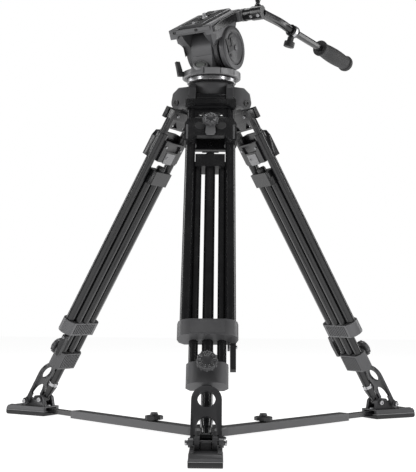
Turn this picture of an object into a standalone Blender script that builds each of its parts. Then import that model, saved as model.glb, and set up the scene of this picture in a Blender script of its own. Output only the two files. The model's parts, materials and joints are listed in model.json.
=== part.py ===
"""Tripod with a fluid head, twin-tube legs and a ground spreader.

World frame: origin on the floor under the spreader's hub, +Z up, leg 1 towards -Y. The shapes are made round
the crown's axis, and the last step moves them so that the hub is at the origin. Lengths below are in
millimetres. Each leg is built in its own frame: X across the leg, Y outward, Z down the leg, origin on the
hinge pin. Each foot is built at its ankle: X across, Y outward, Z up.
"""
from math import atan2, cos, pi, radians, sin

import bmesh
import bpy
from mathutils import Matrix, Vector

MM = 0.001

# Driving dimensions
LEG_AZIMUTHS = (-90.0, 150.0, 30.0)
LEG_LEAN = 31.3            # from the vertical
HINGE_RADIUS = 57.0
HINGE_HEIGHT = 657.0
TUBE_SPACING = 38.5        # twin tubes, each side of the leg's centre
THIN_R = 7.6
THICK_R = 9.4
THICK_BORE = 8.1
INNER_SPACING = 24.0       # inner frame's tubes
INNER_R = 7.8
INNER_BACK = -10.0         # the inner frame lies behind the twin tubes
CENTRE_R = 9.6
HOLE_GAP = 0.35
ANKLE_W = 722.0            # ankle pin, measured down the leg
FOOT_TOE = 89.0            # pad's front edge, outward of the ankle
FOOT_HEEL = -18.0
LATCH_Y = 34.0             # latch pin, outward of the ankle and below it
LATCH_Z = -3.8
BOLT_Y = -8.0              # spreader arm's bolt in the foot
HUB_Y = -168.0
ARM_LOW = 3.0
ARM_HIGH = 19.0
ARM_START = (84.0, 105.0, 105.0)     # where each outer channel starts, from the foot's bolt
BAR_END = (150.0, 330.0, 330.0)      # where each inner bar ends
KNOB_FROM_HUB = (80.0, 154.0, 154.0)
PIN_FROM_HUB = 25.0
LOOSE_HOLE_R = 6.5         # arms 2 and 3 float on the hub's 2.9 mm pins as the legs spread
CROWN_TOP = 692.6
BOWL_R = 37.9              # 75 mm bowl
TILT_HEIGHT = 768.0
TILT_AZIMUTH = -29.0       # direction of the tilt axis, towards the drag dial
PLATFORM_TILT = 28.0
DRUM_R = 44.0
DIAL_R = 45.0
PLATFORM_HALF = (49.5, 66.5)
CLAMP = Vector((66.4, 50, 54))         # rosette face on the platform's bracket, in the tilted frame
HANDLE_R = 9.0                         # front tube
HANDLE_BEND = Vector((146, 62, 845))   # bend of the front tube
HANDLE_JOINT = Vector((173, 90, 835))  # telescoping joint
HANDLE_END = Vector((318, 296, 812))   # tip of the grip
ROUND = 12                 # sides of an ordinary round piece

FINISHES = {               # base colour, metallic, roughness
    "black_metal": ((0.02, 0.02, 0.022), 0.6, 0.35),
    "grey_cast": ((0.16, 0.16, 0.17), 0.5, 0.45),
    "dark_cast": ((0.05, 0.05, 0.055), 0.4, 0.45),
    "bright_metal": ((0.7, 0.7, 0.72), 1.0, 0.3),
    "black_plastic": ((0.025, 0.025, 0.027), 0.0, 0.5),
    "rubber": ((0.03, 0.03, 0.03), 0.0, 0.8),
}


# ---------------------------------------------------------------- shape helpers
def clear_scene():
    for old in list(bpy.data.objects):
        bpy.data.objects.remove(old)


def material(name):
    found = bpy.data.materials.get(name)
    if found:
        return found
    colour, metallic, roughness = FINISHES[name]
    made = bpy.data.materials.new(name)
    made.use_nodes = True
    shader = made.node_tree.nodes["Principled BSDF"]
    shader.inputs["Base Color"].default_value = (*colour, 1.0)
    shader.inputs["Metallic"].default_value = metallic
    shader.inputs["Roughness"].default_value = roughness
    made.diffuse_color = (*colour, 1.0)
    return made


def as_mesh(bm):
    bmesh.ops.recalc_face_normals(bm, faces=bm.faces)
    if bm.calc_volume(signed=True) < 0:
        bmesh.ops.reverse_faces(bm, faces=bm.faces)
    mesh = bpy.data.meshes.new("shape")
    bm.to_mesh(mesh)
    bm.free()
    return mesh


def box(low, high):
    """A box between two corners."""
    bm = bmesh.new()
    bmesh.ops.create_cube(bm, size=1.0)
    for v in bm.verts:
        v.co = Vector([low[i] if v.co[i] < 0 else high[i] for i in range(3)])
    return as_mesh(bm)


def rod(start, end, radius, end_radius=None, sides=ROUND):
    """A cylinder or cone between two points."""
    start, end = Vector(start), Vector(end)
    along = end - start
    bm = bmesh.new()
    bmesh.ops.create_cone(bm, cap_ends=True, segments=sides, radius1=radius,
                          radius2=radius if end_radius is None else end_radius, depth=along.length)
    turn = Vector((0, 0, 1)).rotation_difference(along).to_matrix().to_4x4()
    bm.transform(Matrix.Translation((start + end) / 2) @ turn)
    return as_mesh(bm)


def prism(outline, axis, low, high):
    """A 2-D outline extruded along one axis. Its points are in the other two axes, in X, Y, Z order."""
    others = [i for i in range(3) if i != axis]
    bm = bmesh.new()
    ring = []
    for point in outline:
        co = [0.0, 0.0, 0.0]
        co[axis] = low
        co[others[0]], co[others[1]] = point
        ring.append(bm.verts.new(co))
    face = bm.faces.new(ring)
    grown = bmesh.ops.extrude_face_region(bm, geom=[face])["geom"]
    shift = Vector((0, 0, 0))
    shift[axis] = high - low
    bmesh.ops.translate(bm, vec=shift, verts=[g for g in grown if isinstance(g, bmesh.types.BMVert)])
    return as_mesh(bm)


def turned(profile, sides=24):
    """A closed profile of (radius, height) points turned round Z. A point on the axis has radius 0."""
    bm = bmesh.new()
    rings = []
    for radius, height in profile:
        if radius == 0:
            rings.append([bm.verts.new((0, 0, height))] * sides)
        else:
            angles = [2 * pi * k / sides for k in range(sides)]
            rings.append([bm.verts.new((radius * cos(a), radius * sin(a), height)) for a in angles])
    for here, there in zip(rings, rings[1:] + rings[:1]):
        for k in range(sides):
            corners = [here[k], here[(k + 1) % sides], there[(k + 1) % sides], there[k]]
            unique = list(dict.fromkeys(corners))
            if len(unique) > 2:
                bm.faces.new(unique)
    return as_mesh(bm)


def arc(centre, radius, start, end, count):
    """Points on an arc, angles in degrees."""
    return [(centre[0] + radius * cos(radians(start + (end - start) * k / (count - 1))),
             centre[1] + radius * sin(radians(start + (end - start) * k / (count - 1)))) for k in range(count)]


def moved(mesh, matrix):
    mesh.transform(matrix)
    return mesh


def pair(make):
    """The same shape on the leg's two sides."""
    return [make(-1), make(1)]


def node(name, add, cut=(), finish="black_metal", parent=None, at=(0, 0, 0), turn=(0, 0, 0)):
    """One named solid: the first shape joined with the others, less the cuts, placed under its parent."""
    solid = bpy.data.objects.new(name, add[0])
    bpy.context.scene.collection.objects.link(solid)
    tools = []
    for shape, operation in [(s, "UNION") for s in add[1:]] + [(s, "DIFFERENCE") for s in cut]:
        tool = bpy.data.objects.new("tool", shape)
        bpy.context.scene.collection.objects.link(tool)
        step = solid.modifiers.new("join", "BOOLEAN")
        step.operation = operation
        step.object = tool
        tools.append(tool)
    graph = bpy.context.evaluated_depsgraph_get()
    mesh = bpy.data.meshes.new_from_object(solid.evaluated_get(graph))
    solid.modifiers.clear()
    solid.data = mesh
    for tool in tools:
        bpy.data.objects.remove(tool)
    mesh.transform(Matrix.Scale(MM, 4))
    mesh.materials.clear()
    mesh.materials.append(material(finish))
    mesh.shade_smooth()
    mesh.set_sharp_from_angle(angle=radians(35))
    solid.parent = parent
    solid.location = Vector(at) * MM
    solid.rotation_euler = [radians(a) for a in turn]
    return solid


def axis_empty(name, matrix):
    """An empty that carries a frame: its matrix is in millimetres."""
    empty = bpy.data.objects.new(name, None)
    bpy.context.scene.collection.objects.link(empty)
    scaled = matrix.copy()
    scaled.translation = matrix.translation * MM
    empty.matrix_world = scaled
    bpy.context.view_layer.update()
    return empty


def star(radius, thickness, lobes=4, depth=0.34, sides=24):
    """A lobed grip with a raised ring and button, on Z."""
    outline = []
    for k in range(sides):
        angle = 2 * pi * k / sides
        lobe = (0.5 + 0.5 * cos(lobes * angle)) ** 0.6
        size = radius * (1 - depth + depth * lobe)
        outline.append((size * cos(angle), size * sin(angle)))
    return [prism(outline, 2, 3.0, thickness), rod((0, 0, 0), (0, 0, thickness + 3), radius * 0.45),
            rod((0, 0, thickness), (0, 0, thickness + 5.5), radius * 0.24, sides=10)]


# ---------------------------------------------------------------- frames
def leg_matrix(azimuth):
    a, lean = radians(azimuth), radians(LEG_LEAN)
    outward = Vector((cos(a), sin(a), 0))
    across = Vector((-sin(a), cos(a), 0))
    up = Vector((0, 0, 1))
    down = outward * sin(lean) - up * cos(lean)
    normal = outward * cos(lean) + up * sin(lean)
    matrix = Matrix((across, normal, down)).transposed().to_4x4()
    matrix.translation = outward * HINGE_RADIUS + up * HINGE_HEIGHT
    return matrix


def foot_matrix(azimuth):
    ankle = leg_matrix(azimuth) @ Vector((0, INNER_BACK, ANKLE_W))
    return Matrix.Translation(ankle) @ Matrix.Rotation(radians(azimuth - 90), 4, "Z")


def arm_matrix(azimuth):
    """Origin at the foot's bolt on the floor, X towards the hub. Also the distance to the hub."""
    bolt = foot_matrix(azimuth) @ Vector((0, BOLT_Y, 0))
    bolt.z = 0
    to_hub = Vector((0, HUB_Y, 0)) - bolt
    turn = Matrix.Rotation(atan2(to_hub.y, to_hub.x), 4, "Z")
    return Matrix.Translation(bolt) @ turn, to_hub.length


# ---------------------------------------------------------------- legs
def upper_frame(leg, frame):
    plate = [(-50, 14), (50, 14), (50, 37), (45, 37), (31, 26), (-31, 26), (-45, 37), (-50, 37)]
    add = [box((-47, -9, 15), (47, 9, 33)), prism(plate, 1, 6, 14), box((-28.4, -8, 0), (28.4, 8, 18)),
           rod((-28.5, 0, 0), (28.5, 0, 0), 10), box((-46, -6, 30), (46, 4, 54))]
    add += pair(lambda s: rod((s * TUBE_SPACING, 0, 20), (s * TUBE_SPACING, 0, 470), THIN_R))
    cut = pair(lambda s: prism([(s * 9, 50), (s * 29, 50), (s * 22, 37)], 1, -12, 12))
    node(f"{leg}_upper_frame", add, cut, "black_metal", frame)


def outer_frame(leg, frame):
    arch = [(-50, 80), (-44, 68), (-30, 66), (30, 66), (44, 68), (50, 80), (50, 124), (40, 124), (27, 111),
            (-27, 111), (-40, 124), (-50, 124)]
    add = [prism(arch, 1, 5, 16), box((-34, -16, 80), (34, -9, 126))]
    add += pair(lambda s: rod((s * TUBE_SPACING, 0, 68), (s * TUBE_SPACING, 0, 124), 12.4))
    add += pair(lambda s: rod((s * TUBE_SPACING, 0, 100), (s * TUBE_SPACING, 0, 540.5), THICK_R))
    cut = pair(lambda s: rod((s * TUBE_SPACING, 0, 50), (s * TUBE_SPACING, 0, 536), THICK_BORE))
    cut += [box((-22, -20, 84), (22, -12, 100)), rod((0, -20, 112), (0, -5, 112), 4, sides=12)]
    node(f"{leg}_outer_frame", add, cut, "black_metal", frame)


def tube_collar(leg, frame):
    side = [(30, 17), (42, 14.5), (50, 7), (52, -3), (49, -13), (40, -19.5)]
    outline = side + [(-u, v) for u, v in reversed(side)]
    add = [prism(outline, 2, 519, 549), box((33.5, -18, 545), (37.4, -8, 562))]
    cut = pair(lambda s: rod((s * TUBE_SPACING, 0, 510), (s * TUBE_SPACING, 0, 541), THICK_R + HOLE_GAP))
    cut += pair(lambda s: rod((s * INNER_SPACING, INNER_BACK, 510), (s * INNER_SPACING, INNER_BACK, 560),
                              INNER_R + HOLE_GAP))
    cut += [rod((0, INNER_BACK, 510), (0, INNER_BACK, 560), CENTRE_R + HOLE_GAP)]
    node(f"{leg}_tube_collar", add, cut, "grey_cast", frame)


def collar_lever(leg, frame):
    blade = [(-5, -5), (5, -5), (6, 18), (1, 42), (-6, 44), (-7, 16)]
    add = [prism(blade, 0, 0, 10), rod((-0.1, 0, 0), (10.1, 0, 0), 5.6, sides=10)]
    node(f"{leg}_collar_lever", add, (), "black_plastic", frame, (37.9, -13, 557.2))


def inner_frame(leg, frame):
    add = [box((-28.2, -23.5, 146), (28.2, 2.5, 176))]
    add += pair(lambda s: rod((s * INNER_SPACING, INNER_BACK, 160),
                              (s * INNER_SPACING, INNER_BACK, 618.5), INNER_R))
    cut = [rod((0, INNER_BACK, 140), (0, INNER_BACK, 190), CENTRE_R + HOLE_GAP)]
    node(f"{leg}_inner_frame", add, cut, "black_metal", frame)


def lower_collar(leg, frame):
    side = [(18, 8), (29, 5), (35, -3), (35.5, -15), (28, -23)]
    outline = side + [(-u, v) for u, v in reversed(side)]
    add = [prism(outline, 2, 595, 634), rod((0, 0, 603), (0, 13, 603), 8)]
    cut = pair(lambda s: rod((s * INNER_SPACING, INNER_BACK, 590), (s * INNER_SPACING, INNER_BACK, 619),
                             INNER_R + HOLE_GAP))
    cut += [rod((0, INNER_BACK, 590), (0, INNER_BACK, 640), CENTRE_R + HOLE_GAP)]
    node(f"{leg}_lower_collar", add, cut, "grey_cast", frame)


def centre_tube(leg, frame):
    y = INNER_BACK
    add = [rod((0, y, 140), (0, y, 690), CENTRE_R), rod((0, y, 684), (0, y, 705), 12.4, 9.0),
           rod((0, y, 700), (0, y, ANKLE_W), 6.9, sides=10), rod((-9.2, y, ANKLE_W), (9.2, y, ANKLE_W), 8)]
    cut = [rod((-12, y, ANKLE_W), (12, y, ANKLE_W), 4.5, sides=10)]
    node(f"{leg}_centre_tube", add, cut, "black_metal", frame)


def foot_base(leg, frame, floor):
    rib = [(-14, -18), (-10, 4), (-3, 10), (7, 9), (20, -1), (30, 6), (39, 5), (44, -3), (40, -18)]
    edge = [(FOOT_HEEL, floor), (FOOT_TOE - 3, floor), (FOOT_TOE, floor + 4), (FOOT_TOE, floor + 15),
            (FOOT_TOE - 5, floor + 20), (FOOT_HEEL, floor + 20)]
    add = [prism(edge, 0, -26, 26)]
    add += pair(lambda s: prism(rib, 0, min(s * 10, s * 18), max(s * 10, s * 18)))
    add += [rod((-20, 0, 0), (20, 0, 0), 4, sides=10),
            rod((-31, LATCH_Y, LATCH_Z), (31, LATCH_Y, LATCH_Z), 4, sides=10)]
    add += [rod((-20.5, 0, 0), (-17.5, 0, 0), 6, sides=12), rod((17.5, 0, 0), (20.5, 0, 0), 6, sides=12)]
    cut = [box((-17, FOOT_HEEL - 5, floor + 5), (17, 3, floor + 17))]
    node(f"{leg}_foot_base", add, cut, "dark_cast", frame)


def foot_latch(leg, frame):
    half, top = 24.7, 73.0
    outline = [(-half, 12)] + arc((0, top), half, 180, 0, 15) + [(half, 12)]
    opening = [(-16.5, 5), (-16.5, 26)] + arc((0, 29), 15, 168, 12, 9) + [(16.5, 26), (16.5, 5)]
    add = [prism(outline, 1, -2.5, 3)]
    add += pair(lambda s: box((min(s * 20, s * 24.7), -7, 0), (max(s * 20, s * 24.7), 3, 24)))
    add += pair(lambda s: rod((s * 20, 0, 0), (s * 28, 0, 0), 7.5))
    cut = [rod((0, -9, 74), (0, 9, 74), 14.5, sides=24), prism(opening, 1, -9, 9),
           rod((-35, 0, 0), (35, 0, 0), 4.5, sides=10)]
    node(f"{leg}_foot_latch", add, cut, "dark_cast", frame, (0, LATCH_Y, LATCH_Z), (LEG_LEAN, 0, 0))


def make_leg(number, azimuth):
    leg = f"leg_{number}"
    frame = axis_empty(f"{leg}_axis", leg_matrix(azimuth))
    upper_frame(leg, frame)
    outer_frame(leg, frame)
    tube_collar(leg, frame)
    collar_lever(leg, frame)
    inner_frame(leg, frame)
    lower_collar(leg, frame)
    centre_tube(leg, frame)
    node(f"{leg}_upper_knob", star(26, 13), (), "grey_cast", frame, (0, 16.4, 80), (-90, 20, 0))
    node(f"{leg}_lower_knob", star(28, 14), (), "grey_cast", frame, (0, 13.4, 603), (-90, 25, 0))
    ankle = foot_matrix(azimuth)
    foot = axis_empty(f"{leg}_foot_axis", ankle)
    foot_base(leg, foot, -ankle.translation.z)
    foot_latch(leg, foot)


# ---------------------------------------------------------------- ground spreader
def make_arm(number, azimuth):
    matrix, length = arm_matrix(azimuth)
    frame = axis_empty(f"arm_{number}_axis", matrix)
    start, bar_end = ARM_START[number - 1], BAR_END[number - 1]
    bar = [(bar_end, -8), (bar_end, 8)] + arc((0, 0), 8, 90, 270, 9)
    node(f"arm_{number}_inner", [prism(bar, 2, 6, 16), rod((0, 0, 5.4), (0, 0, 16.6), 5, sides=10)], (),
         "black_metal", frame)
    end = length - 18
    pin_at = length - PIN_FROM_HUB
    cavity_end, hole_r = (pin_at, 3.3) if number == 1 else (length - 60, LOOSE_HOLE_R)
    shell = [(start, -13), (end - 22, -13), (end, -8), (end, 8), (end - 22, 13), (start, 13)]
    cavity = box((start - 5, -8.5, 5.5), (cavity_end, 8.5, 16.5))
    hole = rod((pin_at, 0, 0), (pin_at, 0, 25), hole_r, sides=10)
    node(f"arm_{number}_outer", [prism(shell, 2, ARM_LOW, ARM_HIGH)], [cavity, hole], "grey_cast", frame)
    node(f"arm_{number}_knob", star(18, 10, lobes=8, depth=0.12), (), "black_plastic", frame,
         (length - KNOB_FROM_HUB[number - 1], 0, ARM_HIGH + 0.4))


def make_hub():
    add = [rod((0, 0, 0), (0, 0, 2.6), 34, sides=20), rod((0, 0, 2), (0, 0, 21), 9),
           rod((0, 0, 19.5), (0, 0, 22.5), 34, sides=20)]
    for azimuth in LEG_AZIMUTHS:
        matrix, length = arm_matrix(azimuth)
        pin = matrix @ Vector((length - PIN_FROM_HUB, 0, 0)) - Vector((0, HUB_Y, 0))
        add.append(rod((pin.x, pin.y, 1.5), (pin.x, pin.y, 24), 2.9, sides=12))
    node("spreader_hub", add, (), "dark_cast", None, (0, HUB_Y, 0))


# ---------------------------------------------------------------- crown
def make_crown():
    body = [(38, 645), (45.5, 656), (47, 674), (48, 690), (48, CROWN_TOP), (0, CROWN_TOP), (0, 645)]
    ear = [(20, 688), (52, 688), (66, 677), (69.5, 660)] + arc((HINGE_RADIUS, HINGE_HEIGHT), 12.5, 0, -140, 8)
    ear += [(40, 650), (20, 650)]
    add = [turned(body, 32)]
    for azimuth in LEG_AZIMUTHS:
        turn = Matrix.Rotation(radians(azimuth - 90), 4, "Z")
        add += [moved(prism(ear, 0, min(s * 30.5, s * 44), max(s * 30.5, s * 44)), turn) for s in (-1, 1)]
    bowl = [(0, 700), (BOWL_R, 700)]
    bowl += [(r, CROWN_TOP + z) for r, z in arc((0, 0), BOWL_R, 0, -48, 7)]
    bowl += [(20, 640), (0, 640)]
    node("crown", add, [turned(bowl, 24)], "grey_cast")


def make_half_ball():
    ball_r = BOWL_R - HOLE_GAP
    ball = [(0, 707), (49, 707), (50, 703), (49, 697.6), (36, 697.6)]
    ball += [(r, CROWN_TOP + z) for r, z in arc((0, 0), ball_r, -4, -50, 7)] + [(0, 663)]
    node("half_ball", [turned(ball, 24), rod((0, 0, 605), (0, 0, 670), 6, sides=10)], (), "grey_cast")
    grip = [(6.4, 638), (10, 638), (14, 630), (21, 627), (22, 614), (18, 608), (6.4, 608)]
    node("tie_down_knob", [turned(grip, 16)], (), "black_plastic")


# ---------------------------------------------------------------- head
def make_pan_housing():
    ring = [(0, 707.4), (56, 707.4), (59, 711), (59, 719), (57, 720.4), (0, 720.4)]
    neck = moved(box((-24, -40, 718), (24, 40, 752)), Matrix.Rotation(radians(TILT_AZIMUTH), 4, "Z"))
    drum = moved(rod((-25.5, 0, TILT_HEIGHT), (25.5, 0, TILT_HEIGHT), DRUM_R + HOLE_GAP, sides=32),
                 Matrix.Rotation(radians(TILT_AZIMUTH), 4, "Z"))
    node("pan_housing", [turned(ring, 32), neck], [drum], "grey_cast")


def make_drum(frame):
    add = [rod((-24, 0, 0), (24, 0, 0), DRUM_R, sides=32), rod((-53, 0, 0), (58, 0, 0), 6, sides=10)]
    node("tilt_drum", add, (), "grey_cast", frame)


def make_tilt_frame(frame):
    half_x, half_y = PLATFORM_HALF
    cheek = [(-62, 50), (-56, 40), (-40, 22)] + arc((0, 0), 39, 165, 375, 15) + [(46, 22), (62, 40), (62, 50)]
    deck = [(-half_x, 46), (-half_x, 65), (-29, 65), (-29, 60), (29, 60), (29, 65), (half_x, 65), (half_x, 46),
            (34, 46), (30, 52), (-30, 52), (-34, 46)]
    add = [prism(deck, 1, -half_y, half_y)]
    add += [prism(cheek, 0, -38, -24.6), prism(cheek, 0, 24.6, 38)]
    add += [box((49, 36, 44), (62, 64, 64)), rod((60, 50, 54), (66, 50, 54), 13)]
    cut = [rod((-40, 0, 0), (40, 0, 0), 6.5, sides=10)]
    node("tilt_frame", add, cut, "grey_cast", frame)


def make_plate(frame):
    outline = [(-27, 60.4), (27, 60.4), (27, 66), (24, 69), (-24, 69), (-27, 66)]
    slot = [(-4.4, -28), (4.4, -28), (4.4, 34), (-4.4, 34)]
    grooves = [box((s * 14 - 1, -70, 67.6), (s * 14 + 1, 80, 71)) for s in (-1, 1)]
    node("camera_plate", [prism(outline, 1, -60, 72)], [prism(slot, 2, 55, 75)] + grooves, "dark_cast", frame)
    node("camera_screw", [rod((0, 4, 60.4), (0, 4, 78), 4, sides=10)], (), "bright_metal", frame)
    lever = [(-20, 52), (8, 50), (12, 56), (8, 62), (-20, 60)]
    node("plate_lock_lever", [prism(lever, 0, -57, -50), rod((-58, 6, 56), (-49.9, 6, 56), 5.5, sides=10)], (),
         "black_plastic", frame)


def make_head_controls(frame):
    dial = [(6.4, 38.4), (40, 38.4), (DIAL_R, 42), (DIAL_R, 50), (41, 53.4), (34, 53.4), (33, 52), (31, 52),
            (30, 53.4), (6.4, 53.4)]
    lying = Matrix.Rotation(radians(90), 4, "Y")
    node("drag_dial", [moved(turned(dial, 32), lying)], (), "grey_cast", frame)


def make_pan_lock():
    turn = Matrix.Rotation(radians(200), 4, "Z")
    add = [moved(rod((59.6, 0, 714), (72, 0, 714), 5.5, sides=10), turn),
           moved(prism([(64, 709), (72, 709), (74, 720), (78, 738), (70, 738), (64, 720)], 1, -5, 5), turn)]
    node("pan_lock_lever", add, (), "black_plastic")


# ---------------------------------------------------------------- handle


def tilt_matrix():
    head = Matrix.Translation((0, 0, TILT_HEIGHT)) @ Matrix.Rotation(radians(TILT_AZIMUTH), 4, "Z")
    return head @ Matrix.Rotation(radians(PLATFORM_TILT), 4, "X")


def make_handle():
    start = tilt_matrix() @ CLAMP
    side = (tilt_matrix().to_3x3() @ Vector((1, 0, 0))).normalized()
    root = start + side * 30
    clamp = [rod(start + side * 0.4, start + side * 26, 12.5),
             rod(start + side * 18, start + side * 42, 14.5),
             rod(root + Vector((0, 0, 8)), root + Vector((0, 0, 17)), 6.5, sides=10)]
    node("handle_clamp", clamp, (), "black_metal")
    wing = [rod(root + Vector((0, 0, 17.4)), root + Vector((0, 0, 21)), 6, sides=10),
            moved(box((-9, -2.5, 20), (9, 2.5, 34)), Matrix.Translation(root))]
    node("handle_wing_screw", wing, (), "black_plastic")
    along = (HANDLE_JOINT - HANDLE_BEND).normalized()
    first = start + side * 36
    to_grip = (HANDLE_END - HANDLE_JOINT).normalized()
    add = [rod(first, HANDLE_BEND, HANDLE_R), rod(HANDLE_BEND - along * 3, HANDLE_JOINT, HANDLE_R),
           rod(HANDLE_JOINT - to_grip * 10, HANDLE_JOINT + to_grip * 10, 12.6)]
    add += [rod(HANDLE_BEND - Vector((4, 2, 0)), HANDLE_BEND + along * 4, HANDLE_R)]
    bore = rod(HANDLE_JOINT - to_grip * 6, HANDLE_JOINT + to_grip * 30, 7.6 + HOLE_GAP)
    clamp_space = rod(start + side * 5, start + side * 42.4, 14.9)
    node("handle_front_tube", add, [bore, clamp_space], "black_metal")
    down = Vector((-0.55, -0.45, -0.7))
    down = (down - to_grip * down.dot(to_grip)).normalized()
    knob_at = HANDLE_JOINT + down * 13.2
    knob = [rod(knob_at, knob_at + down * 12, 7, sides=10),
            rod(knob_at + down * 10, knob_at + down * 22, 11.5, sides=12)]
    node("handle_joint_knob", knob, (), "black_plastic")
    grip_from = HANDLE_END - to_grip * 135
    rear_start = HANDLE_JOINT - to_grip * 5.5
    node("handle_rear_tube", [rod(rear_start, grip_from + to_grip * 60, 7.6)], (), "black_metal")
    profile = [(0, 135), (10, 134), (17, 129), (18.5, 120), (16, 116), (17.5, 90), (18, 60), (16, 25)]
    profile += [(15, 8), (17.5, 5), (17.5, 0), (7.9, 0), (7.9, 60.5), (0, 60.5)]
    turn = Vector((0, 0, 1)).rotation_difference(to_grip).to_matrix().to_4x4()
    node("handle_grip", [moved(turned(profile, 16), Matrix.Translation(grip_from) @ turn)], (), "rubber")


def main():
    clear_scene()
    for number, azimuth in enumerate(LEG_AZIMUTHS, 1):
        make_leg(number, azimuth)
        make_arm(number, azimuth)
    make_hub()
    make_crown()
    make_half_ball()
    make_pan_housing()
    level = axis_empty("tilt_axis_level", tilt_matrix() @ Matrix.Rotation(radians(-PLATFORM_TILT), 4, "X"))
    make_drum(level)
    tilted = axis_empty("tilt_axis", tilt_matrix())
    make_tilt_frame(tilted)
    make_plate(tilted)
    make_head_controls(tilted)
    make_pan_lock()
    make_handle()
    for solid in bpy.data.objects:
        if solid.parent is None:
            solid.location.y -= HUB_Y * MM


main()
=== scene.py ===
"""Looks of the tripod with fluid head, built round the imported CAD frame.

Helper shapes are in millimetres and are placed by frames that are read from the CAD's joints.
"""
import json
from math import cos, pi, radians, sin

import bmesh
import bpy
from mathutils import Matrix, Vector


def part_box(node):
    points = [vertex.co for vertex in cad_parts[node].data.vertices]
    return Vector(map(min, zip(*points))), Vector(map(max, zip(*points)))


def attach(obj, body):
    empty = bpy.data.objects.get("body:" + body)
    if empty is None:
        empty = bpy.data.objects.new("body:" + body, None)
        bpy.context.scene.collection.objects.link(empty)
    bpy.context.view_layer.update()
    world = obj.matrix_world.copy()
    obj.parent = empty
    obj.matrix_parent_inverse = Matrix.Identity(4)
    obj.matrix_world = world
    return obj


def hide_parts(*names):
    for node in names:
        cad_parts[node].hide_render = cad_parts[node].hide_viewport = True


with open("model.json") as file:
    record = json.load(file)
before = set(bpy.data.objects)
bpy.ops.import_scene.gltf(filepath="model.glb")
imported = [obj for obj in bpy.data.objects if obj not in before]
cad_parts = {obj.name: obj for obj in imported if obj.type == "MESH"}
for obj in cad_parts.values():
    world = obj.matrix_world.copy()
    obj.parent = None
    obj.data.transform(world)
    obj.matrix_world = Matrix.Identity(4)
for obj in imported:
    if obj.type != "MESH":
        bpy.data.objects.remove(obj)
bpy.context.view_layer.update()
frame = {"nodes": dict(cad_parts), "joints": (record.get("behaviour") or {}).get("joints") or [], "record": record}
MM = 0.001
JOINTS = {j["name"]: j for j in frame["joints"]}
BODY_OF = {n: b for b, members in frame["record"]["behaviour"]["bodies"].items() for n in members}
SLOT_OF = {s["node"]: s["material_slot"] for s in frame["record"]["subparts"]}
SMOOTH_ANGLE = 38
LEGS = (1, 2, 3)
SIDES = ((-1, "left"), (1, "right"))
THIN_TUBE_R = 7.75
THICK_TUBE_R = 9.55
INNER_TUBE_R = 7.95
CENTRE_TUBE_R = 9.75
TWIN_SPACING = 38.5     # twin tubes, each side of the leg's centre
INNER_SPACING = 24
INNER_BACK = -10        # the inner frame lies behind the twin tubes
HANDLE_TUBE_R = 9.2
CLAMP_LENGTH_M = 0.036  # from the handle clamp's rosette to where the front tube leaves it
GRIP_LENGTH_M = 0.135
REAR_REACH_M = 0.2526   # from the handle's joint to the tip of the grip
FLOOR_HALF_M = 6.0
FLOOR_DROP_M = 0.0006
CAMERA_PLACE_M = (0.0198, -1.8653, 0.2417)
CAMERA_YAW, CAMERA_PITCH, CAMERA_ROLL = -0.69, 4.05, 0.44
CAMERA_LENS_MM = 86.75
ROOM_LIGHT = 0.12       # the white room's light on the object, which leaves black parts black


# ---------------------------------------------------------------- materials
def shader_nodes(name):
    made = bpy.data.materials.new(name)
    made.use_nodes = True
    tree = made.node_tree
    return made, tree, tree.nodes["Principled BSDF"]


def noise(tree, scale, detail, coords, stretch=(1, 1, 1)):
    mapping = tree.nodes.new("ShaderNodeMapping")
    mapping.inputs["Scale"].default_value = stretch
    tree.links.new(coords, mapping.inputs["Vector"])
    texture = tree.nodes.new("ShaderNodeTexNoise")
    texture.inputs["Scale"].default_value = scale
    texture.inputs["Detail"].default_value = detail
    tree.links.new(mapping.outputs["Vector"], texture.inputs["Vector"])
    return texture.outputs["Fac"]


def ramp(tree, value, low, high, dark, light):
    made = tree.nodes.new("ShaderNodeMapRange")
    made.inputs["From Min"].default_value = low
    made.inputs["From Max"].default_value = high
    made.inputs["To Min"].default_value = dark
    made.inputs["To Max"].default_value = light
    tree.links.new(value, made.inputs["Value"])
    return made.outputs["Result"]


def finish(name, dark, light, metallic, rough, rough_spread, grain, bump, wear=0.0, coat=0.0):
    """A surface with mottled colour, uneven roughness, a fine grain bump, and paler worn edges."""
    made, tree, shader = shader_nodes(name)
    coords = tree.nodes.new("ShaderNodeTexCoord").outputs["Object"]
    broad = noise(tree, 35, 4, coords)
    fine = noise(tree, grain, 6, coords)
    mix = tree.nodes.new("ShaderNodeMix")
    mix.data_type = "RGBA"
    mix.inputs["A"].default_value = (*dark, 1)
    mix.inputs["B"].default_value = (*light, 1)
    tree.links.new(broad, mix.inputs["Factor"])
    colour = mix.outputs["Result"]
    if wear:
        geometry = tree.nodes.new("ShaderNodeNewGeometry")
        edge = ramp(tree, geometry.outputs["Pointiness"], 0.52, 0.6, 0.0, wear)
        worn = tree.nodes.new("ShaderNodeMix")
        worn.data_type = "RGBA"
        worn.inputs["B"].default_value = (0.35, 0.35, 0.36, 1)
        tree.links.new(edge, worn.inputs["Factor"])
        tree.links.new(colour, worn.inputs["A"])
        colour = worn.outputs["Result"]
    tree.links.new(colour, shader.inputs["Base Color"])
    uneven = ramp(tree, broad, 0.3, 0.7, rough - rough_spread, rough + rough_spread)
    tree.links.new(uneven, shader.inputs["Roughness"])
    relief = tree.nodes.new("ShaderNodeBump")
    relief.inputs["Strength"].default_value = bump
    relief.inputs["Distance"].default_value = 0.0004
    tree.links.new(fine, relief.inputs["Height"])
    tree.links.new(relief.outputs["Normal"], shader.inputs["Normal"])
    shader.inputs["Metallic"].default_value = metallic
    shader.inputs["Coat Weight"].default_value = coat
    shader.inputs["Coat Roughness"].default_value = 0.2
    return made


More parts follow.
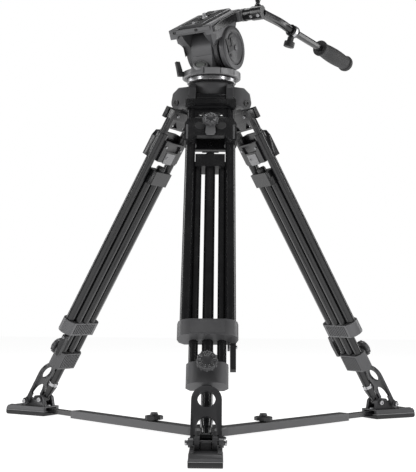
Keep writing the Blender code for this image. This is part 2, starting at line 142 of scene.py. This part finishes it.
MATERIALS = {
    "black_metal": finish("black_anodised", (0.006, 0.006, 0.007), (0.012, 0.012, 0.013),
                          0.0, 0.24, 0.05, 900, 0.02, coat=0.15),
    "grey_cast": finish("grey_casting", (0.062, 0.062, 0.065), (0.095, 0.095, 0.098),
                        0.25, 0.42, 0.06, 1500, 0.2, 0.25),
    "light_cast": finish("light_casting", (0.2, 0.2, 0.205), (0.28, 0.28, 0.285),
                         0.3, 0.4, 0.06, 1500, 0.3, 0.2),
    "dark_cast": finish("dark_casting", (0.018, 0.018, 0.02), (0.034, 0.034, 0.036),
                        0.2, 0.42, 0.07, 1300, 0.3, 0.3),
    "bright_metal": finish("bright_steel", (0.36, 0.36, 0.37), (0.5, 0.5, 0.51),
                           1.0, 0.26, 0.07, 700, 0.05),
    "black_plastic": finish("black_plastic", (0.014, 0.014, 0.015), (0.022, 0.022, 0.024),
                            0.0, 0.46, 0.06, 1800, 0.3),
    "rubber": finish("soft_rubber", (0.016, 0.016, 0.017), (0.03, 0.03, 0.031),
                     0.0, 0.66, 0.06, 900, 0.15),
    "glass": finish("level_glass", (0.16, 0.17, 0.16), (0.24, 0.25, 0.24),
                    0.0, 0.08, 0.02, 400, 0.0, coat=1.0),
}


# ---------------------------------------------------------------- shapes, in millimetres
def box(low, high):
    bm = bmesh.new()
    bmesh.ops.create_cube(bm, size=1.0)
    for v in bm.verts:
        v.co = Vector([low[i] if v.co[i] < 0 else high[i] for i in range(3)])
    return bm


def rod(start, end, radius, end_radius=None, sides=48):
    start, end = Vector(start), Vector(end)
    along = end - start
    bm = bmesh.new()
    bmesh.ops.create_cone(bm, cap_ends=True, segments=sides, radius1=radius,
                          radius2=radius if end_radius is None else end_radius, depth=along.length)
    turn = Vector((0, 0, 1)).rotation_difference(along).to_matrix().to_4x4()
    bm.transform(Matrix.Translation((start + end) / 2) @ turn)
    return bm


def prism(outline, axis, low, high):
    others = [i for i in range(3) if i != axis]
    bm = bmesh.new()
    ring = []
    for point in outline:
        co = [0.0, 0.0, 0.0]
        co[axis] = low
        co[others[0]], co[others[1]] = point
        ring.append(bm.verts.new(co))
    grown = bmesh.ops.extrude_face_region(bm, geom=[bm.faces.new(ring)])["geom"]
    shift = Vector((0, 0, 0))
    shift[axis] = high - low
    bmesh.ops.translate(bm, vec=shift, verts=[g for g in grown if isinstance(g, bmesh.types.BMVert)])
    return bm


def turned(profile, sides=64, matrix=None):
    """A closed (radius, height) profile turned round Z."""
    bm = bmesh.new()
    rings = []
    angles = [2 * pi * k / sides for k in range(sides)]
    for radius, height in profile:
        if radius == 0:
            rings.append([bm.verts.new((0, 0, height))] * sides)
        else:
            rings.append([bm.verts.new((radius * cos(a), radius * sin(a), height)) for a in angles])
    for here, there in zip(rings, rings[1:] + rings[:1]):
        for k in range(sides):
            unique = list(dict.fromkeys([here[k], here[(k + 1) % sides], there[(k + 1) % sides], there[k]]))
            if len(unique) > 2:
                bm.faces.new(unique)
    if matrix:
        bm.transform(matrix)
    return bm


def arc(centre, radius, start, end, count):
    """Points on an arc, with its angles in degrees."""
    angles = [radians(start + (end - start) * k / (count - 1)) for k in range(count)]
    return [(centre[0] + radius * cos(a), centre[1] + radius * sin(a)) for a in angles]


def boxes_round(low, high, angles, place=None):
    """The same box at several angles round Z."""
    made = []
    for angle in angles:
        shape = box(low, high)
        turn = Matrix.Rotation(angle, 4, "Z")
        shape.transform(place @ turn if place else turn)
        made.append(shape)
    return made


def even_angles(count):
    return [2 * pi * k / count for k in range(count)]


def dressed(obj, body, slot, bevel=0.4, material=None):
    """Bevel, smooth shading, a material picked by slot unless one is given, and ride for one piece."""
    mesh = obj.data
    mesh.materials.clear()
    mesh.materials.append(MATERIALS[material or slot])
    mesh.shade_smooth()
    mesh.set_sharp_from_angle(angle=radians(SMOOTH_ANGLE))
    if bevel:
        rounded = obj.modifiers.new("edges", "BEVEL")
        rounded.width = bevel * MM
        rounded.segments = 2
        rounded.limit_method = "ANGLE"
        rounded.angle_limit = radians(SMOOTH_ANGLE)
        rounded.harden_normals = True
    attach(obj, body)
    return obj


def piece(name, shapes, matrix, body, slot, bevel=0.4, material=None):
    """One named piece from millimetre shapes, placed by a metre matrix."""
    total = bmesh.new()
    for shape in shapes:
        bmesh.ops.recalc_face_normals(shape, faces=shape.faces)
        part = bpy.data.meshes.new("part")
        shape.to_mesh(part)
        shape.free()
        total.from_mesh(part)
        bpy.data.meshes.remove(part)
    total.transform(matrix @ Matrix.Scale(MM, 4))
    mesh = bpy.data.meshes.new(name)
    total.to_mesh(mesh)
    total.free()
    obj = bpy.data.objects.new(name, mesh)
    bpy.context.scene.collection.objects.link(obj)
    return dressed(obj, body, slot, bevel, material)


def refined(node, bevel=0.7, material=None):
    """A finer copy of a CAD node: flat faces rebuilt, edges rounded, and smooth round stretches."""
    bm = bmesh.new()
    bm.from_mesh(frame["nodes"][node].data)
    bmesh.ops.remove_doubles(bm, verts=bm.verts, dist=0.00001)
    bmesh.ops.dissolve_limit(bm, angle_limit=radians(0.5), verts=bm.verts, edges=bm.edges)
    mesh = bpy.data.meshes.new(node + "_fine")
    bm.to_mesh(mesh)
    bm.free()
    obj = bpy.data.objects.new(node + "_fine", mesh)
    bpy.context.scene.collection.objects.link(obj)
    dressed(obj, BODY_OF[node], SLOT_OF[node], bevel, material)
    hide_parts(node)
    return obj


# ---------------------------------------------------------------- frames read from the joints
def axes_matrix(x, y, z, origin):
    matrix = Matrix((x, y, z)).transposed().to_4x4()
    matrix.translation = origin
    return matrix


def leg_frame(number):
    hinge = JOINTS[f"leg_{number}_spread"]
    across = -Vector(hinge["axis"])
    down = Vector(JOINTS[f"leg_{number}_upper_extension"]["axis"])
    return axes_matrix(across, down.cross(across), down, Vector(hinge["pos_m"]))


def foot_frame(number):
    """Origin at the ankle, X across, Y outward, Z up."""
    ankle = JOINTS[f"leg_{number}_ankle"]
    across = -Vector(ankle["axis"])
    outward = across.cross(Vector((0, 0, 1)))
    return axes_matrix(-across, outward, Vector((0, 0, 1)), Vector(ankle["pos_m"]))


def tilt_frame():
    """The tilted platform's frame: X along the tilt axis, Z out of the platform."""
    across = Vector(JOINTS["tilt"]["axis"])
    along = Vector(JOINTS["plate_slide"]["axis"])
    return axes_matrix(across, along, across.cross(along), Vector(JOINTS["tilt"]["pos_m"]))


# ---------------------------------------------------------------- legs
def leg_tubes(number, place):
    leg = f"leg_{number}"
    black = "black_metal"
    for side, word in SIDES:
        u = side * TWIN_SPACING
        piece(f"{leg}_thin_tube_{word}", [rod((u, 0, 33), (u, 0, 469), THIN_TUBE_R)], place, leg, black)
        thick = rod((u, 0, 124.2), (u, 0, 518.8), THICK_TUBE_R)
        piece(f"{leg}_thick_tube_{word}", [thick], place, leg + "_outer", black)
        u = side * INNER_SPACING
        inner = rod((u, INNER_BACK, 176.2), (u, INNER_BACK, 594.8), INNER_TUBE_R)
        piece(f"{leg}_inner_tube_{word}", [inner], place, leg + "_inner", black)
    centre = leg + "_centre"
    tube = rod((0, INNER_BACK, 139.5), (0, INNER_BACK, 683), CENTRE_TUBE_R)
    piece(f"{leg}_centre_tube_round", [tube], place, centre, black)
    cap = rod((0, INNER_BACK, 137), (0, INNER_BACK, 141), 8.4, 9.4)
    piece(f"{leg}_tube_cap", [cap], place, centre, "black_plastic")
    ferrule = [(9.9, 676), (11.6, 677), (11.8, 684), (9.9, 685)]
    ring = turned(ferrule, matrix=Matrix.Translation((0, INNER_BACK, 0)))
    piece(f"{leg}_ferrule_ring", [ring], place, centre, "bright_metal")


def screw(name, at, direction, radius, matrix, body, material="bright_metal"):
    """A cap screw head with a socket, standing on a face."""
    turn = Vector((0, 0, 1)).rotation_difference(Vector(direction)).to_matrix().to_4x4()
    head = [(0, 0.9), (radius * 0.45, 0.9), (radius * 0.5, 2.2), (radius * 0.9, 2.2)]
    head += [(radius, 1.6), (radius, -1), (0, -1)]
    shape = turned(head, 24, Matrix.Translation(at) @ turn)
    return piece(name, [shape], matrix, body, "bright_metal", 0.15, material)


def leg_details(number, place):
    leg = f"leg_{number}"
    outer, inner = leg + "_outer", leg + "_inner"
    for side, word in SIDES:
        screw(f"{leg}_shoulder_screw_{word}", (side * 30, -9, 24), (0, -1, 0), 3.4, place, leg)
        screw(f"{leg}_pin_end_{word}", (side * 44.2, 0, 0), (side, 0, 0), 6, place, "crown", "black_metal")
        screw(f"{leg}_clamp_screw_{word}", (side * 27, -16, 92), (0, -1, 0), 2.6, place, outer)
        rib = box((side * 45 - 2, 15, 84), (side * 45 + 2, 16.8, 120))
        piece(f"{leg}_clamp_rib_{word}", [rib], place, outer, "grey_cast", 0.6)
    back = box((-16, -17.4, 103), (16, -15.6, 127.5))
    piece(f"{leg}_clamp_plate_back", [back], place, outer, "grey_cast", 0.5, "light_cast")
    screw(f"{leg}_clamp_rung_screw", (10, -17.4, 114), (0, -1, 0), 2.6, place, outer)
    ribs = [box((k * 6 - 1.6, -21, 522), (k * 6 + 1.6, -19, 546)) for k in range(-5, 6)]
    piece(f"{leg}_collar_ribs", ribs, place, outer, "dark_cast", 0.4)
    panel = [(-29, 523), (29, 523), (29, 545), (-29, 545)]
    piece(f"{leg}_name_panel", [prism(panel, 1, 16.6, 17.5)], place, outer, "grey_cast", 0.3)
    ribs = [box((k * 5.5 - 1.4, -24.4, 598), (k * 5.5 + 1.4, -22.6, 631)) for k in range(-4, 5)]
    piece(f"{leg}_lower_collar_ribs", ribs, place, inner, "dark_cast", 0.4)
    screw(f"{leg}_lever_pin", (48, -13, 557.2), (1, 0, 0), 3, place, leg + "_collar_lever")
    for word, height, front, radius in (("upper", 80, 17.2, 14.5), ("lower", 603, 14.2, 17)):
        ring_knob(f"{leg}_{word}_knob", height, front, radius, place)
    for side, word in SIDES:
        recess = [(side * x, w) for x, w in arc((20, 86), 10.5, -70, 200, 14)]
        shape = prism(recess, 1, 14, 16.5)
        piece(f"{leg}_clamp_recess_{word}", [shape], place, outer, "black_plastic", 0.2)
    neck = [(-8.5, 82), (8.5, 82), (10, 104), (7, 110), (-7, 110), (-10, 104)]
    piece(f"{leg}_clamp_neck", [prism(neck, 1, 14, 18)], place, outer, "grey_cast", 0.8, "light_cast")


def ring_knob(node, height, front, radius, place):
    """A clamp knob: a fluted grip, a ring of bright segments, and a dark button."""
    lying = Matrix.Translation((0, 0, height)) @ Matrix.Rotation(radians(-90), 4, "X")
    shoulder, top, face = front + 5.5, front + 13, front + 14
    grip = [(0, front), (8, front), (8, front + 4), (radius - 1.5, front + 4), (radius, shoulder)]
    grip += [(radius, top), (radius - 1.5, front + 14.5), (0, front + 14.5)]
    shapes = [turned(grip, 48, lying)]
    shapes += boxes_round((radius - 1.6, -1.7, shoulder), (radius + 1.3, 1.7, top), even_angles(12), lying)
    grip_piece = piece(f"{node}_grip", shapes, place, node, "grey_cast", 0.5)
    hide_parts(node)
    low, high = (radius * 0.56, -2, face), (radius * 0.84, 2, front + 15.3)
    segments = boxes_round(low, high, even_angles(10), lying)
    piece(f"{node}_segments", segments, place, node, "bright_metal", 0.3)
    button = [(0, face), (radius * 0.5, face), (radius * 0.5, front + 15), (radius * 0.4, front + 16)]
    button += [(0, front + 16)]
    shape = turned(button, 32, lying)
    piece(f"{node}_button", [shape], place, node, "grey_cast", 0.2, "dark_cast")


def foot_details(number, place):
    leg = f"leg_{number}"
    foot = leg + "_foot"
    floor = -place.translation.z / MM
    rim_low, rim_high = floor + 9, floor + 10.3
    edge = [(-18.2, floor), (87, floor), (89.8, floor + 3), (89.8, rim_low), (-18.2, rim_low)]
    piece(f"{leg}_rubber_pad", [prism(edge, 0, -26.8, 26.8)], place, foot, "rubber", 1.2)
    line = [(-18.4, rim_low), (90, rim_low), (90, rim_high), (-18.4, rim_high)]
    piece(f"{leg}_pad_rim", [prism(line, 0, -27, 27)], place, foot, "grey_cast", 0.2, "light_cast")
    for side, word in SIDES:
        screw(f"{leg}_ankle_bolt_{word}", (side * 20.4, 0, 0), (side, 0, 0), 5.2, place, foot)
        screw(f"{leg}_latch_bolt_{word}", (side * 31, 34, -3.8), (side, 0, 0), 4.4, place, foot)
        step = box((side * 22 - 3.5, 46, floor + 19), (side * 22 + 3.5, 80, floor + 22))
        piece(f"{leg}_plate_step_{word}", [step], place, foot, "dark_cast", 0.8)
    block = box((-9.2, 12, floor + 18), (9.2, 40, floor + 33))
    piece(f"{leg}_toe_block", [block], place, foot, "black_plastic", 1.5)


def leg_nodes(number):
    leg = f"leg_{number}"
    for word in ("upper_frame", "outer_frame", "inner_frame", "centre_tube", "collar_lever"):
        refined(f"{leg}_{word}", 0.6)
    for word in ("tube_collar", "lower_collar"):
        refined(f"{leg}_{word}", 0.9)
    refined(f"{leg}_foot_base", 0.8)
    refined(f"{leg}_foot_latch", 0.9)


# ---------------------------------------------------------------- spreader
def arm_bolt(number):
    """The place of an arm's bolt. Arm 1's has no joint, so its bar's rounded end gives it."""
    if number > 1:
        return Vector(JOINTS[f"arm_{number}_bolt"]["pos_m"])
    low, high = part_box("arm_1_inner")
    bar_end_r = 0.008
    return Vector(((low.x + high.x) / 2, low.y + bar_end_r, 0))


def spreader():
    cap = [(0, 16.4), (6, 16.4), (7.4, 15.4), (7.4, 12), (0, 12)]
    head = [(0, 23.5), (5, 23.5), (6.5, 22), (6.5, 19.5), (0, 19.5)]
    for number in LEGS:
        for word in ("inner", "outer", "knob"):
            refined(f"arm_{number}_{word}", 0.5)
        at = Matrix.Translation(Vector(JOINTS[f"arm_{number}_knob_turn"]["pos_m"]))
        piece(f"arm_{number}_knob_cap", [turned(cap, 32)], at, f"arm_{number}_knob", "grey_cast", 0.3)
        at = Matrix.Translation(arm_bolt(number))
        foot = f"leg_{number}_foot"
        piece(f"arm_{number}_bolt_head", [turned(head, 32)], at, foot, "bright_metal", 0.3)
    refined("spreader_hub", 0.6)


# ---------------------------------------------------------------- crown and head
def pan_parts():
    low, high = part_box("pan_housing")
    at = Matrix.Translation(Vector(((low.x + high.x) / 2, (low.y + high.y) / 2, 0)))
    body = "pan_body"
    cup = [(0, 717), (13.5, 717), (14.5, 719), (14.5, 730), (13, 731.5), (11, 731.5), (10.4, 728), (0, 728)]
    level = Matrix.Translation((-22, -43, 722)) @ Matrix.Rotation(radians(48), 4, "X")
    level @= Matrix.Translation((0, 0, -722))
    piece("bubble_level_cup", [turned(cup, 48, level)], at, body, "grey_cast", 0.3, "light_cast")
    dome = [(0, 733.2), (3, 733), (6, 732.3), (8.8, 731), (10.2, 729), (10.2, 727.5), (0, 727.5)]
    piece("bubble_level_glass", [turned(dome, 48, level)], at, body, "grey_cast", 0, "glass")
    band = [(46, 707.6), (58.8, 707.6), (59.7, 708.5), (59.7, 719.6), (58.8, 720.5), (46, 720.5)]
    piece("pan_ring", [turned(band, 128)], at, body, "grey_cast", 0.3, "light_cast")
    angles = [radians(a) for a in (-150, -132, -104, -72, -40, 20, 80, 130)]
    seams = boxes_round((59.4, -0.7, 708.4), (60, 0.7, 719.8), angles)
    piece("pan_ring_seams", seams, at, body, "black_plastic", 0)
    window = [radians(-118)]
    surround = boxes_round((50, -14, 708.5), (61.2, 14, 721.5), window)
    piece("pan_window_surround", surround, at, body, "grey_cast", 0.8)
    pane = boxes_round((60, -10, 711.5), (61.7, 10, 718.5), window)
    piece("pan_window", pane, at, body, "grey_cast", 0.3, "dark_cast")
    saddle = [(44, 719), (41, 724), (33, 731), (24, 736), (0, 736), (0, 719)]
    piece("pan_saddle", [turned(saddle)], at, body, "grey_cast", 0.6)
    band = [(44, 697.8), (49.4, 697.8), (50.5, 699), (50.5, 705.4), (49.4, 706.6), (44, 706.6)]
    piece("level_ring", [turned(band, 128)], at, "half_ball", "bright_metal", 0.3)
    bowl = [(45.6, 664), (48.6, 676), (49, 689), (48.2, 691), (47, 676), (44.4, 664)]
    piece("bowl_skin", [turned(bowl, 96)], at, "crown", "grey_cast", 0.3)


def platform_parts(place):
    body = "tilt_body"
    flank = [(-38.2, 4)] + arc((-60, 12), 23.5, -18, 62, 10) + [(-49.5, 40), (-49.5, 47), (-38.2, 47)]
    piece("left_flank", [prism(flank, 1, -44, 44)], place, body, "grey_cast", 0.8)
    upper = [(-x, z) for x, z in flank if z > 20]
    piece("right_flank", [prism(upper, 1, -58, 30)], place, body, "grey_cast", 0.8)
    band = [(37, 34.6), (44.2, 34.6), (46.2, 36), (46.2, 37.8), (37, 37.8)]
    ring = turned(band, 96, Matrix.Rotation(radians(90), 4, "Y"))
    piece("dial_back_ring", [ring], place, body, "black_plastic", 0.3)
    fascia = [(-47, 56), (45, 56), (45, 63.5), (-43, 63.5), (-47, 60)]
    piece("platform_fascia", [prism(fascia, 1, -69, -66)], place, body, "grey_cast", 0.8)
    for word, x in (("left", -36), ("right", 14)):
        screw(f"fascia_screw_{word}", (x, -69, 59.5), (0, -1, 0), 3, place, body, "black_metal")
    for side, word in SIDES:
        strip = box((side * 39 - 5, -60, 64.5), (side * 39 + 5, 60, 66))
        # The right strip takes the lighter casting colour as lit and the left takes the darker one as shaded:
        # painted light and painted shade on a mirrored pair of like strips.
        material = "light_cast" if side > 0 else "dark_cast"
        piece(f"rail_strip_painted_light_{word}", [strip], place, body, "grey_cast", 0.4, material)
    bar = [(-66, 50), (66, 46), (66, 64), (-30, 64), (-66, 60)]
    piece("handle_bracket_bar", [prism(bar, 0, 49.8, 54.5)], place, body, "black_metal", 1.0)
    plate_parts(place)


def cross_ribs(centre, half_width, top):
    """The camera plate's row of rubber ribs, across the plate."""
    places = range(-56, 68, 6)
    return [box((centre - half_width, y, 68.8), (centre + half_width, y + 3, top)) for y in places]


def plate_parts(place):
    plate = "camera_plate"
    for side, word in SIDES:
        piece(f"plate_grip_{word}", cross_ribs(side * 19.5, 3.6, 70), place, plate, "rubber", 0.4)
        piece(f"plate_tread_{word}", cross_ribs(side * 9, 3, 69.8), place, plate, "rubber", 0.4)
        edge = box((side * 25.2 - 0.9, -58, 67.6), (side * 25.2 + 0.9, 70, 69.4))
        piece(f"plate_bright_edge_{word}", [edge], place, plate, "bright_metal", 0.3)
    piece("camera_screw_head", [rod((0, 4, 68), (0, 4, 71), 7.2, 6.6)], place, plate, "bright_metal", 0.4)
    for word, y in (("near", -46), ("far", 56)):
        screw(f"plate_pin_{word}", (0, y, 69), (0, 0, 1), 3.4, place, plate)


def dial_parts(place):
    body = "drag_dial"
    lying = Matrix.Rotation(radians(90), 4, "Y")
    face = [(0, 53), (29, 53), (30, 54.2), (29, 54.8), (6, 55.2), (0, 55.2)]
    piece("dial_face", [turned(face, 96, lying)], place, body, "grey_cast", 0.3)
    rim = [(34.5, 53), (41.5, 53), (43.5, 52), (44, 53.2), (41.5, 54.8), (35, 54.8), (34, 54)]
    piece("dial_rim", [turned(rim, 96, lying)], place, body, "grey_cast", 0.3)
    lever = [(-34, 26), (-26, 26), (-24, 8), (-16, 8), (-13, 24), (-6, 24), (-8, -2), (-31, -2)]
    piece("dial_index_lever", [prism(lever, 0, 54, 56.6)], place, body, "black_plastic", 0.8)
    piece("dial_dot", [rod((54, -24, -9), (56.2, -24, -9), 3.2)], place, body, "black_plastic", 0.3)


def crown_parts():
    refined("crown", 1.0, "dark_cast")
    bevels = {"half_ball": 0.5, "tie_down_knob": 0.8, "pan_housing": 0.8, "tilt_drum": 1.0,
              "tilt_frame": 1.2, "drag_dial": 0.5, "pan_lock_lever": 0.8, "camera_plate": 0.5,
              "camera_screw": 0.3, "plate_lock_lever": 0.8}
    for name, bevel in bevels.items():
        refined(name, bevel)


# ---------------------------------------------------------------- handle
def bent_tube(name, points, radius, body, slot):
    """A round tube along a smooth curve through a few points in metres."""
    curve = bpy.data.curves.new(name, "CURVE")
    curve.dimensions = "3D"
    curve.bevel_depth = radius * MM
    curve.bevel_resolution = 10
    curve.resolution_u = 16
    curve.use_fill_caps = True
    spline = curve.splines.new("BEZIER")
    spline.bezier_points.add(len(points) - 1)
    for knot, point in zip(spline.bezier_points, points):
        knot.co = point
        knot.handle_left_type = knot.handle_right_type = "AUTO"
    obj = bpy.data.objects.new(name, curve)
    bpy.context.scene.collection.objects.link(obj)
    graph = bpy.context.evaluated_depsgraph_get()
    mesh = bpy.data.meshes.new_from_object(obj.evaluated_get(graph))
    bpy.data.objects.remove(obj)
    made = bpy.data.objects.new(name, mesh)
    bpy.context.scene.collection.objects.link(made)
    return dressed(made, body, slot, 0)


def wing_lever():
    """A slim upright thumb lever with a bright rim, on the handle clamp's screw."""
    at = Matrix.Translation(Vector(JOINTS["wing_screw_turn"]["pos_m"]))
    outline = [(-4, 17.5), (4, 17.5), (4.4, 22), (6.2, 28)]
    outline += arc((0, 29), 6.2, 0, 180, 9) + [(-6.2, 28), (-4.4, 22)]
    flat_topped = [(x, min(z, 34)) for x, z in outline]
    rim = piece("wing_lever_rim", [prism(flat_topped, 1, -2, 2)], at, "wing_screw", "bright_metal", 0.5)
    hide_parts("handle_wing_screw")
    inner = [(x * 0.66, 26 + (min(z, 33.4) - 26) * 0.72) for x, z in outline]
    piece("wing_lever_face", [prism(inner, 1, -2.7, 2.7)], at, "wing_screw", "black_plastic", 0.3)


def front_tube(joint, side):
    """The handle's front tube, from the clamp to the joint through its bend."""
    start = Vector(JOINTS["handle_angle"]["pos_m"]) + side * CLAMP_LENGTH_M
    bend = joint - Vector((0.027, 0.028, -0.010))
    along = (bend - start).normalized()
    points = [start + along * 0.006, start.lerp(bend, 0.5), start.lerp(bend, 0.86)]
    points += [bend.lerp(joint, 0.2), bend.lerp(joint, 0.6), joint]
    tube = bent_tube("handle_front_tube_round", points, HANDLE_TUBE_R, "handle", "black_metal")
    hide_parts("handle_front_tube")


def grip(back):
    """The rubber grip: a rounded end, a waist at each end of a gentle swell, and a flared ring."""
    profile = [(0, 135), (6, 134.6), (11, 133), (15, 130), (17.6, 126), (18.4, 121), (17.6, 117.5)]
    profile += [(15.6, 116), (15.4, 115)]
    profile += [(15.4 + 2.4 * sin(pi * k / 12), 115 - 98 * k / 12) for k in range(1, 12)]
    profile += [(15.4, 15), (15.2, 9), (16.4, 7), (17.6, 5.4), (17.8, 2), (16.8, 0), (7.9, 0)]
    profile += [(7.9, 6), (0, 6)]
    made = piece("handle_grip_round", [turned(profile)], back, "handle_rear", "rubber", 0)
    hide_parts("handle_grip")


def handle():
    joint = Vector(JOINTS["rear_tube_twist"]["pos_m"])
    to_grip = Vector(JOINTS["rear_tube_twist"]["axis"])
    side = Vector(JOINTS["handle_angle"]["axis"])
    front_tube(joint, side)
    turn = Vector((0, 0, 1)).rotation_difference(to_grip).to_matrix().to_4x4()
    at = Matrix.Translation(joint) @ turn
    collar = [(9, -11), (11.6, -10.5), (12.8, -8), (12.8, 9), (11.6, 11), (8.2, 11), (8.2, -11)]
    piece("handle_joint_collar", [turned(collar)], at, "handle", "black_metal", 0.3)
    ring = [(12.6, -6), (13.2, -5.4), (13.2, 2.4), (12.6, 3)]
    piece("handle_joint_ring", [turned(ring)], at, "handle", "bright_metal", 0.2)
    tip = joint + to_grip * REAR_REACH_M
    back = Matrix.Translation(tip - to_grip * GRIP_LENGTH_M) @ turn
    rear = rod((0, 0, -117), (0, 0, 4), THIN_TUBE_R)
    piece("handle_rear_tube_round", [rear], back, "handle_rear", "black_metal")
    refined("handle_rear_tube", 0)
    grip(back)
    refined("handle_clamp", 0.8)
    wing_lever()
    refined("handle_joint_knob", 0.8)
    clamp = Vector(JOINTS["handle_angle"]["pos_m"])
    lie = Matrix.Translation(clamp) @ Vector((0, 0, 1)).rotation_difference(side).to_matrix().to_4x4()
    teeth = boxes_round((9.6, -0.7, 0.4), (13.2, 0.7, 3), even_angles(24))
    piece("handle_rosette", teeth, lie, "handle", "black_metal", 0.2)
    for number, height in ((1, 20), (2, 36)):
        screw(f"handle_clamp_screw_{number}", (2, -14.2, height), (0.1, -1, 0), 3.4, lie, "handle")


# ---------------------------------------------------------------- stage
def floor_plane():
    mesh = bpy.data.meshes.new("floor")
    half = FLOOR_HALF_M
    corners = [(-half, -half, 0), (half, -half, 0), (half, half, 0), (-half, half, 0)]
    mesh.from_pydata(corners, [], [(0, 1, 2, 3)])
    floor = bpy.data.objects.new("floor", mesh)
    bpy.context.scene.collection.objects.link(floor)
    made, _, shader = shader_nodes("floor_paper")
    shader.inputs["Base Color"].default_value = (0.5, 0.5, 0.5, 1)
    shader.inputs["Roughness"].default_value = 0.9
    shader.inputs["Emission Color"].default_value = (1, 1, 1, 1)
    shader.inputs["Emission Strength"].default_value = 0.9
    mesh.materials.append(made)
    floor.location.z = -FLOOR_DROP_M


def white_room():
    """A white background that lights the object only dimly, so that black parts stay black."""
    world = bpy.data.worlds.new("studio")
    bpy.context.scene.world = world
    world.use_nodes = True
    tree = world.node_tree
    background = tree.nodes["Background"]
    background.inputs["Color"].default_value = (1, 1, 1, 1)
    seen = tree.nodes.new("ShaderNodeLightPath").outputs["Is Camera Ray"]
    tree.links.new(ramp(tree, seen, 0, 1, ROOM_LIGHT, 1.0), background.inputs["Strength"])
    bpy.context.scene.view_settings.view_transform = "Standard"


def area_light(name, at, target, size, power):
    data = bpy.data.lights.new(name, "AREA")
    data.shape = "RECTANGLE"
    data.size, data.size_y = size
    data.energy = power
    obj = bpy.data.objects.new(name, data)
    bpy.context.scene.collection.objects.link(obj)
    obj.location = at
    obj.rotation_euler = (Vector(target) - Vector(at)).to_track_quat("-Z", "Y").to_euler()


def lights():
    for side in (-1, 1):
        area_light(f"edge_strip_{side + 2}", (side * 1.9, 0.9, 0.9), (0, 0.1, 0.45), (0.6, 1.9), 12)
        area_light(f"front_strip_{side + 2}", (side * 2.1, -1.3, 1.2), (0, 0, 0.5), (0.3, 1.6), 13)
    area_light("top_softbox", (0, 0.5, 2.4), (0, 0.1, 0.7), (1.1, 1.1), 18)


def camera():
    """The place and aim that give the leg and head proportions seen from leg 1's side."""
    yaw, pitch, roll = radians(CAMERA_YAW), radians(CAMERA_PITCH), radians(CAMERA_ROLL)
    forward = Vector((sin(yaw) * cos(pitch), cos(yaw) * cos(pitch), sin(pitch)))
    right = Vector((cos(yaw), -sin(yaw), 0))
    up = right.cross(forward)
    rolled = right * cos(roll) + up * sin(roll)
    upright = up * cos(roll) - right * sin(roll)
    data = bpy.data.cameras.new("camera")
    data.sensor_fit = "HORIZONTAL"
    data.sensor_width = 36
    data.lens = CAMERA_LENS_MM
    obj = bpy.data.objects.new("camera", data)
    bpy.context.scene.collection.objects.link(obj)
    obj.matrix_world = axes_matrix(rolled, upright, -forward, Vector(CAMERA_PLACE_M))
    bpy.context.scene.camera = obj


camera()
floor_plane()
white_room()
lights()
for number in LEGS:
    leg_place = leg_frame(number)
    leg_nodes(number)
    leg_tubes(number, leg_place)
    leg_details(number, leg_place)
    foot_details(number, foot_frame(number))
spreader()
crown_parts()
pan_parts()
platform_parts(tilt_frame())
dial_parts(tilt_frame())
handle()
